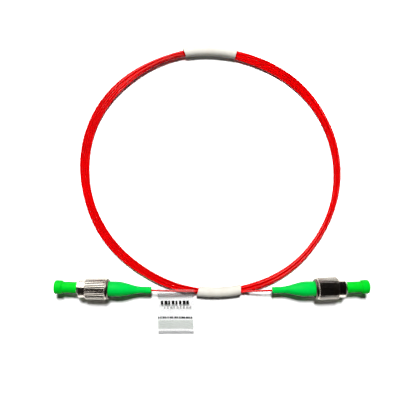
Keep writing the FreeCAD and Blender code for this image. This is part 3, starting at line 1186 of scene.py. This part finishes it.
@dataclass
class CouplingNut(PlugPiece):
    """Knurled nut with a smooth collar, an open back and a threaded front."""

    name: ClassVar[str] = "knurled_nut"
    solid: ClassVar[str] = "coupling_nut"
    finishes: ClassVar[Sequence[Finish]] = (NICKEL_NUT,)
    body: ClassVar[str] = "nut"

    back: float = 19.7
    front: float = 33.5
    edge_rounding: float = 0.08
    step_rounding: float = 0.06
    rim_radius: float = 4.8
    rim_length: float = 1.2
    rim_chamfer: float = 0.5
    rim_relief: float = 0.15
    # How much painted shade the rear rim gets.
    rim_shade: float = 0.9
    tip_radius: float = 5.1
    tooth_depth: float = 0.28
    tooth_top: float = 0.44
    tooth_lead: float = 0.3
    teeth: int = 36
    steps_a_tooth: int = 8
    collar_radius: float = 4.4
    collar_length: float = 3.2
    collar_rounding: float = 0.21
    recess_radius: float = 4.0
    groove_back: float = 25.3
    groove_front: float = 26.3
    groove_radius: float = 4.3
    land_radius: float = 3.6
    thread_radius: float = 4.0
    thread_crest: float = 3.66
    thread_pitch: float = 0.75
    thread_foot: float = 0.05
    thread_flank: float = 0.42
    thread_turns: int = 4
    thread_length: float = 3.3
    thread_lead: float = 0.15
    lead_rounding: float = 0.04

    def knurl_start(self) -> float:
        """Station where the teeth start."""
        return self.back + self.rim_length

    def knurl_end(self) -> float:
        """Station where the teeth end."""
        return self.front - self.collar_length

    def rim_end(self) -> float:
        """Station where the rim gives way to the relief behind the teeth."""
        return self.knurl_start() - 2 * self.rim_relief

    def tooth_angle(self) -> float:
        """Angle round the axis that one tooth takes up."""
        return FULL_TURN / self.teeth

    def thread(self) -> list[Corner]:
        """Draw the thread's ridges, from the front inwards.

        Returns:
            Their corners.
        """
        ridge = (
            (self.thread_foot, self.thread_radius),
            (self.thread_flank, self.thread_crest),
            (1.0 - self.thread_flank, self.thread_crest),
            (1.0 - self.thread_foot, self.thread_radius),
        )
        start = self.front - self.thread_lead
        return [
            Corner(start - (turn + share) * self.thread_pitch, radius)
            for turn in range(self.thread_turns)
            for share, radius in ridge
        ]

    def section(self) -> list[Corner]:
        """Draw the nut's section, with the teeth at their full height.

        Returns:
            Its corners.
        """
        start, end = self.knurl_start(), self.knurl_end()
        relief = self.rim_radius - self.rim_relief
        thread_back = self.front - self.thread_length
        return [
            Corner(self.back, self.recess_radius, self.edge_rounding),
            Corner(self.back, self.rim_radius - self.rim_chamfer, self.edge_rounding),
            Corner(self.back + self.rim_chamfer, self.rim_radius, self.edge_rounding),
            Corner(self.rim_end(), self.rim_radius, self.step_rounding),
            Corner(start - self.rim_relief, relief),
            Corner(start, relief),
            Corner(start + self.tooth_lead, self.tip_radius),
            Corner(end - self.tooth_lead, self.tip_radius),
            Corner(end, relief),
            Corner(end, self.collar_radius, self.step_rounding),
            Corner(self.front, self.collar_radius, self.collar_rounding),
            Corner(self.front, self.thread_radius + self.thread_lead, self.lead_rounding),
            Corner(self.front - self.thread_lead, self.thread_radius),
            *self.thread(),
            Corner(thread_back, self.thread_radius),
            Corner(thread_back, self.land_radius, self.edge_rounding),
            Corner(self.groove_front, self.land_radius, self.edge_rounding),
            Corner(self.groove_front, self.groove_radius),
            Corner(self.groove_back, self.groove_radius),
            Corner(self.groove_back, self.recess_radius, self.edge_rounding),
        ]

    def cut_tooth(self, shape: Shape) -> None:
        """Lower one tooth's flanks, and mark the flanks and the rim for painted shade.

        Args:
            shape: The section, turned through one tooth from the top of one to the top of the next.
        """
        groove = shape.verts.layers.float.new("groove")
        root = self.tip_radius - self.tooth_depth
        flank = (1.0 - self.tooth_top) / 2
        for vert in shape.verts:
            radius = vert.co.yz.length
            # The rim gets painted shade, and each flank more of it the deeper it lies.
            if vert.co.x < self.rim_end():
                vert[groove] = self.rim_shade
            elif radius > root:
                share = abs(math.atan2(vert.co.y, vert.co.z)) / self.tooth_angle()
                height = clamp(abs(share - 0.5) / flank)
                vert.co.yz = vert.co.yz * (between(root, self.tip_radius, height) / radius)
                vert[groove] = 1.0 - height

    def shape(self) -> Shape:
        """Turn one tooth's share of the nut, cut it and repeat it round the axis.

        Returns:
            The nut's shape.
        """
        shape = draw_outline(self.section())
        spin_all(shape, self.tooth_angle(), self.steps_a_tooth)
        self.cut_tooth(shape)
        spin_all(shape, FULL_TURN - self.tooth_angle(), self.teeth - 1, use_duplicate=True)
        return close_up(shape)


@dataclass
class DustCap(PlugPiece):
    """Moulded cap: a spigot in the barrel, a neck, and a rounded knob with a gate mark."""

    name: ClassVar[str] = "cap_moulding"
    solid: ClassVar[str] = "dust_cap"
    finishes: ClassVar[Sequence[Finish]] = (CAP_GREEN,)
    body: ClassVar[str] = "cap"

    back: float = 28.9
    bore_radius: float = 1.3
    bore_end: float = 37.0
    bore_rounding: float = 0.15
    mouth_rounding: float = 0.12
    spigot_radius: float = 2.4
    spigot_rounding: float = 0.2
    neck_back: float = 34.8
    neck_radius: float = 2.6
    neck_edge: float = 0.08
    neck_fillet: float = 0.2
    shoulder: float = 41.2
    shoulder_rounding: float = 0.45
    knob_radius: float = 3.2
    front: float = 44.8
    knob_rounding: float = 0.7
    gate_radius: float = 0.7
    gate_depth: float = 0.15
    gate_rounding: float = 0.05

    def shape(self) -> Shape:
        """Turn the cap.

        Returns:
            Its shape.
        """
        gate_floor = self.front - self.gate_depth
        return turned([
            Corner(self.bore_end, 0.0),
            Corner(self.bore_end, self.bore_radius, self.bore_rounding),
            Corner(self.back, self.bore_radius, self.mouth_rounding),
            Corner(self.back, self.spigot_radius, self.spigot_rounding),
            Corner(self.neck_back, self.spigot_radius),
            Corner(self.neck_back, self.neck_radius, self.neck_edge),
            Corner(self.shoulder, self.neck_radius, self.neck_fillet),
            Corner(self.shoulder, self.knob_radius, self.shoulder_rounding),
            Corner(self.front, self.knob_radius, self.knob_rounding),
            Corner(self.front, self.gate_radius, self.gate_rounding),
            Corner(gate_floor, self.gate_radius - self.gate_depth, self.gate_rounding),
            Corner(gate_floor, 0.0),
        ])


@dataclass
class Ferrule(PlugPiece):
    """Ceramic ferrule with a chamfered tip, cut at an angle, and the fibre's end in its middle."""

    name: ClassVar[str] = "ferrule_tip"
    solid: ClassVar[str] = "ferrule"
    finishes: ClassVar[Sequence[Finish]] = (FERRULE_CERAMIC, FIBRE_GLASS)
    body: ClassVar[str] = "ferrule_set"

    back: float = 25.05
    front: float = 35.6
    radius: float = 1.25
    edge_rounding: float = 0.06
    chamfer: float = 0.4
    angle: float = math.radians(8.0)
    fibre_radius: float = 0.13

    def shape(self) -> Shape:
        """Turn the ferrule, cut its tip and inset the fibre's end there.

        Returns:
            The ferrule's shape.
        """
        face_radius = self.radius - self.chamfer
        shape = turned([
            Corner(self.back, 0.0),
            Corner(self.back, self.radius, self.edge_rounding),
            Corner(self.front - self.chamfer, self.radius, self.edge_rounding),
            Corner(self.front, face_radius),
            Corner(self.front, 0.0),
        ])
        bmesh.ops.bisect_plane(
            shape, geom=everything(shape), dist=MERGE_MM,
            plane_co=(self.front - face_radius * math.tan(self.angle), 0.0, 0.0),
            plane_no=(math.cos(self.angle), 0.0, math.sin(self.angle)), clear_outer=True,
        )
        rim = [edge for edge in shape.edges if edge.is_boundary]
        tip = bmesh.ops.edgeloop_fill(shape, edges=rim)["faces"]
        bmesh.ops.inset_individual(shape, faces=tip, thickness=face_radius - self.fibre_radius)
        bmesh.ops.recalc_face_normals(shape, faces=shape.faces[:])
        for face in tip:
            face.material_index = self.finishes.index(FIBRE_GLASS)
        return shape


@dataclass
class Spring(PlugPiece):
    """Round-wire spring behind the ferrule. In the real plug it shortens as the ferrule is pressed in; this
    piece keeps its rest length.
    """

    name: ClassVar[str] = "spring_coil"
    solid: ClassVar[str] = "spring"
    finishes: ClassVar[Sequence[Finish]] = (SPRING_STEEL,)

    back: float = 22.95
    front: float = 26.60
    coil_radius: float = 1.925
    wire_radius: float = 0.225
    turns: int = 3
    stroke: float = 1.0
    wire_sides: int = 12
    steps_a_turn: int = 32

    def length(self) -> float:
        """Length at rest."""
        return self.front - self.back

    def shape(self) -> Shape:
        """Wind the wire.

        Returns:
            The spring's shape.
        """
        shape = bmesh.new()
        start = Matrix.Translation((self.back + self.wire_radius, 0.0, -self.coil_radius))
        bmesh.ops.create_circle(
            shape, cap_ends=True, radius=self.wire_radius, segments=self.wire_sides,
            matrix=start @ Matrix.Rotation(math.pi / 2, 4, "X"),
        )
        steps = self.turns * self.steps_a_turn
        climb = (self.length() - 2.0 * self.wire_radius) / steps
        spin_all(shape, FULL_TURN * self.turns, steps, dvec=(climb, 0.0, 0.0))
        return close_up(shape)

    def build(self, side: Side, axis: PlugAxis) -> bpy.types.Object:
        """Make the spring and give it a mesh of its own.

        Args:
            side: The plug's side.
            axis: The plug's axis.

        Returns:
            The spring.
        """
        spring = super().build(side, axis)
        1.0 - self.stroke / self.length()
        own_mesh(spring)
        return spring


@dataclass
class FlagLabel:
    """Clear film folded round the left cord and stuck to itself, with plain fields of print and painted
    shadows.

    Attributes:
        start_x: Where its left side is, in millimetres, as are all its sizes.
        width: Its width along the cord.
        start_middle: The cord's middle (Y, Z) at its left side.
        finish_middle: The cord's middle (Y, Z) at its right side.
        loop_radius: Radius of the loop round the cord.
        half_gap: Half the distance between the two layers.
        film: Thickness of the film.
        knee: Where it comes down to the table (Y, Z).
        tip: Where it ends (Y, Z).
        knee_rounding: How far from the knee its bend starts.
        root_rounding: How far from the loop's ends their bends start.
        curl: How far its sides curl up.
        curl_power: How closely the curl keeps to the sides.
        bend_steps: Straight pieces in a bend.
        loop_steps: Straight pieces in the loop.
        width_steps: Faces across the width.
        sharp_deg: Edges that turn by more than this stay crisp.
    """

    start_x: float = -25.4
    width: float = 17.3
    start_middle: tuple[float, float] = (-46.40, 5.03)
    finish_middle: tuple[float, float] = (-47.03, 3.56)
    loop_radius: float = 0.85
    half_gap: float = 0.07
    film: float = 0.1
    knee: tuple[float, float] = (-57.0, 0.15)
    tip: tuple[float, float] = (-67.6, 0.5)
    knee_rounding: float = 5.0
    root_rounding: float = 0.8
    curl: float = 0.5
    curl_power: int = 4
    bend_steps: int = 8
    loop_steps: int = 40
    width_steps: int = 24
    sharp_deg: float = 80.0

    def section(self) -> Shape:
        """Draw the folded film across the cord, at its start.

        Returns:
            The fold's edges, whose upper attribute is 1 on the upper layer.
        """
        shape = bmesh.new()
        upper = shape.verts.layers.float.new("upper")
        middle = Vector((self.start_x, *self.start_middle))
        slope = (Vector((self.start_x, *self.knee)) - middle).normalized()
        across = Vector((0.0, slope.z, -slope.y))
        reach = math.sqrt(self.loop_radius**2 - self.half_gap**2)
        opening = 2.0 * math.asin(self.half_gap / self.loop_radius)
        root = shape.verts.new(middle + slope * reach + across * self.half_gap)
        loop = bmesh.ops.spin(
            shape, geom=[root], cent=middle, axis=(-1.0, 0.0, 0.0), angle=FULL_TURN - opening,
            steps=self.loop_steps,
        )
        back_root = next(item for item in loop["geom_last"] if isinstance(item, bmesh.types.BMVert))
        root[upper] = 1.0
        bends = [(root, self.root_rounding), (back_root, self.root_rounding)]
        for start, side, layer in ((root, 1.0, 1.0), (back_root, -1.0, 0.0)):
            knee, tip = (
                shape.verts.new((self.start_x, y, z + side * self.half_gap))
                for y, z in (self.knee, self.tip)
            )
            shape.edges.new((start, knee))
            shape.edges.new((knee, tip))
            for vert in (knee, tip):
                vert[upper] = layer
            bends.append((knee, self.knee_rounding))
        for vert, rounding in bends:
            round_off(shape, [vert], rounding, self.bend_steps)
        return shape

    def lie_down(self, shape: Shape) -> None:
        """Let the film follow the falling cord and curl at its sides.

        Args:
            shape: The film, drawn straight along X.
        """
        for vert in shape.verts:
            share = (vert.co.x - self.start_x) / self.width
            hold = clamp((vert.co.y - self.knee[0]) / (self.start_middle[0] - self.knee[0]))
            vert.co.y += share * hold * (self.finish_middle[0] - self.start_middle[0])
            vert.co.z += share * hold * (self.finish_middle[1] - self.start_middle[1])
            vert.co.z += (1.0 - hold) * self.curl * (2.0 * share - 1.0) ** self.curl_power

    def build(self) -> bpy.types.Object:
        """Draw the fold, carry it along the cord and give it its thickness.

        Returns:
            The label.
        """
        shape = self.section()
        upper = shape.verts.layers.float["upper"]
        edges = shape.edges[:]
        for _ in range(self.width_steps):
            grown = bmesh.ops.extrude_edge_only(shape, edges=edges)["geom"]
            edges = [item for item in grown if isinstance(item, bmesh.types.BMEdge)]
            verts = [item for item in grown if isinstance(item, bmesh.types.BMVert)]
            bmesh.ops.translate(shape, vec=(self.width / self.width_steps, 0.0, 0.0), verts=verts)
        self.lie_down(shape)
        finishes = [CLEAR_FILM, PRINT_AND_SHADOW_FILM]
        for face in shape.faces:
            marked = all(vert[upper] > 0.5 for vert in face.verts)
            face.material_index = finishes.index(PRINT_AND_SHADOW_FILM if marked else CLEAR_FILM)
        bmesh.ops.recalc_face_normals(shape, faces=shape.faces[:])
        bmesh.ops.scale(shape, vec=(MM, MM, MM), verts=shape.verts[:])
        label = new_piece("film_flag", shape, finishes, ROOT, "flag_label", self.sharp_deg)
        thickness = label.modifiers.new("film", "SOLIDIFY")
        thickness.thickness = self.film * MM
        thickness.offset = 0.0
        return label


@dataclass
class SoftBox:
    """A rectangular lamp that points at the object, in metres and watts."""

    name: str
    place: Point
    width: float
    depth: float
    power: float
    duty: Duty

    def build(self) -> None:
        """Add the lamp to the scene."""
        lamp = bpy.data.lights.new(self.name, "AREA")
        lamp.shape = "RECTANGLE"
        lamp.size = self.width
        lamp.size_y = self.depth
        lamp.energy = self.power
        holder = put(self.name, lamp)
        holder.location = self.place
        holder.visible_diffuse = self.duty is Duty.SHINE
        holder.visible_glossy = self.duty is Duty.MIRROR
        holder.rotation_mode = "QUATERNION"
        holder.rotation_quaternion = (-Vector(self.place)).to_track_quat("-Z", "Y")


@dataclass
class Studio:
    """Camera, floor, lamps and surroundings, in metres where nothing else is said.

    Attributes:
        eye: Where the camera is.
        focal_pixels: Its focal length, in pixels of the picture.
        frame_pixels: The picture's width, in pixels.
        sensor_mm: Width of its sensor.
        clip_start: How near it sees.
        clip_end: How far it sees.
        floor_half: Half the floor's width.
        floor_tone: The floor's colour, save for the light that it throws on matt surfaces.
        floor_bounce: Its colour for that light.
        floor_lift: Its own glow.
        floor_roughness: Its roughness.
        floor_gloss: Strength of its gloss.
        horizon_tone: Colour of the room's walls.
        zenith_tone: Colour of its ceiling.
        wall_top: Rise of the direction where the walls start to give way to the ceiling.
        ceiling_start: Rise of the direction where the ceiling is reached.
        dim_share: Strength of the room's right side, as a share of the left one.
        pale_until: How far to the right the pale side reaches, as a direction's X.
        dim_from: Where the dim side starts, as a direction's X.
        matt_share: How much of the room lights matt surfaces.
        backdrop_tone: What the camera sees past the floor.
        boxes: The lamps.
    """

    eye: Point = (-5.45 * MM, -4.4 * MM, 240.0 * MM)
    focal_pixels: float = 506.5
    frame_pixels: float = 400.0
    sensor_mm: float = 36.0
    clip_start: float = 1.0 * MM
    clip_end: float = 10.0
    floor_half: float = 0.2
    floor_tone: Colour = (1.7, 1.7, 1.7, 1.0)
    floor_bounce: Colour = (0.25, 0.25, 0.25, 1.0)
    floor_lift: float = 0.005
    floor_roughness: float = 0.9
    floor_gloss: float = 0.1
    horizon_tone: Colour = (0.20, 0.187, 0.173, 1.0)
    zenith_tone: Colour = (0.02, 0.018, 0.016, 1.0)
    wall_top: float = 0.10
    ceiling_start: float = 0.45
    dim_share: float = 0.15
    pale_until: float = -0.6
    dim_from: float = 0.3
    matt_share: float = 0.6
    backdrop_tone: Colour = WHITE
    boxes: Sequence[SoftBox] = (
        SoftBox("key_box", (0.0, 0.40, 0.71), 0.15, 0.20, 7.4, Duty.SHINE),
        SoftBox("window_box", (-0.56, 0.94, 0.78), 0.85, 1.4, 12.0, Duty.MIRROR),
    )

    def build(self) -> None:
        """Set up everything that isn't the object."""
        scene = bpy.context.scene
        scene.view_settings.view_transform = "Standard"
        scene.camera = self._camera()
        scene.world = self._world()
        self._floor()
        for box in self.boxes:
            box.build()

    def _camera(self) -> bpy.types.Object:
        """Put the camera straight above the coil, with +Y at the top of the picture.

        Returns:
            The camera.
        """
        lens = bpy.data.cameras.new("viewpoint")
        lens.sensor_width = self.sensor_mm
        lens.lens = self.focal_pixels * self.sensor_mm / self.frame_pixels
        lens.clip_start = self.clip_start
        lens.clip_end = self.clip_end
        camera = put("viewpoint", lens)
        camera.location = self.eye
        return camera

    def _floor(self) -> None:
        """Lay a white floor that keeps the object's shadow and throws back little light."""
        shape = bmesh.new()
        bmesh.ops.create_grid(shape, x_segments=1, y_segments=1, size=self.floor_half)
        mesh = bpy.data.meshes.new("floor")
        shape.to_mesh(mesh)
        shape.free()
        material = bpy.data.materials.new("white_floor")
        material.use_nodes = True
        sheet = NodeSheet(material.node_tree)
        rays = sheet.add("ShaderNodeLightPath").outputs
        seen_by = [rays[kind] for kind in ("Is Camera Ray", "Is Glossy Ray", "Is Transmission Ray")]
        shown = reduce(partial(sheet.math, "MAXIMUM"), seen_by)
        sheet.feed(
            material.node_tree.nodes["Principled BSDF"],
            Roughness=self.floor_roughness, Specular_IOR_Level=self.floor_gloss,
            Base_Color=sheet.blend(rays["Is Diffuse Ray"], self.floor_tone, self.floor_bounce),
            Emission_Color=WHITE, Emission_Strength=sheet.math("MULTIPLY", shown, self.floor_lift),
        )
        mesh.materials.append(material)
        put("floor", mesh)

    def _world(self) -> bpy.types.World:
        """Surround the object with a white backdrop, in whose place its surfaces see a dim room.

        Returns:
            The world.
        """
        world = bpy.data.worlds.new("studio")
        world.use_nodes = True
        sheet = NodeSheet(world.node_tree)
        rays = sheet.add("ShaderNodeLightPath").outputs
        split = sheet.add("ShaderNodeSeparateXYZ")
        sheet.feed(split, Vector=sheet.add("ShaderNodeTexCoord").outputs["Generated"])
        rise = sheet.spread(split.outputs["Z"], 0.0, 1.0, self.wall_top, self.ceiling_start)
        room = sheet.blend(rise, self.horizon_tone, self.zenith_tone)
        colour = sheet.blend(rays["Is Camera Ray"], room, self.backdrop_tone)
        side = sheet.spread(split.outputs["X"], 1.0, self.dim_share, self.pale_until, self.dim_from)
        share = sheet.spread(rays["Is Glossy Ray"], self.matt_share, 1.0)
        level = sheet.math("MULTIPLY", side, share)
        strength = sheet.math("MAXIMUM", level, rays["Is Camera Ray"])
        sheet.feed(world.node_tree.nodes["Background"], Color=colour, Strength=strength)
        return world


SOLID_FINISHES = {
    "retaining_clip": SPRING_STEEL,
    "plug_frame": NICKEL_FRAME,
    "ferrule_holder": TURNED_STEEL,
    "rear_body": NICKEL_FRAME,
}


def dress_solids(side: Side) -> None:
    """Give the solids that stay as they are in a plug their finish.

    Args:
        side: The plug's side.
    """
    for piece, finish in SOLID_FINISHES.items():
        node = frame["nodes"][side.named(piece)]
        node.data.materials.clear()
        node.data.materials.append(finish.material())
        LOG.info("%s: %s", side.named(piece), finish.name)


def main() -> None:
    """Build the studio and every piece in order."""
    logging.basicConfig(level=logging.INFO, format="%(message)s")
    Studio().build()
    oval = CoilOval()
    WoundCord(oval).build()
    for sleeve in (
        Sleeve("top_sleeve", oval, 1, length=24.5, middle_x=-0.6, left_slant=-0.25, right_slant=0.05),
        Sleeve("bottom_sleeve", oval, -1, length=20.2, middle_x=3.6, left_slant=-0.18, right_slant=-0.22),
    ):
        sleeve.build()
    FlagLabel().build()
    for side in Side:
        axis = PlugAxis.of(side)
        dress_solids(side)
        for piece in (Boot(), CouplingNut(), DustCap(), Ferrule(), Spring()):
            piece.build(side, axis)


if __name__ == "__main__":
    main()
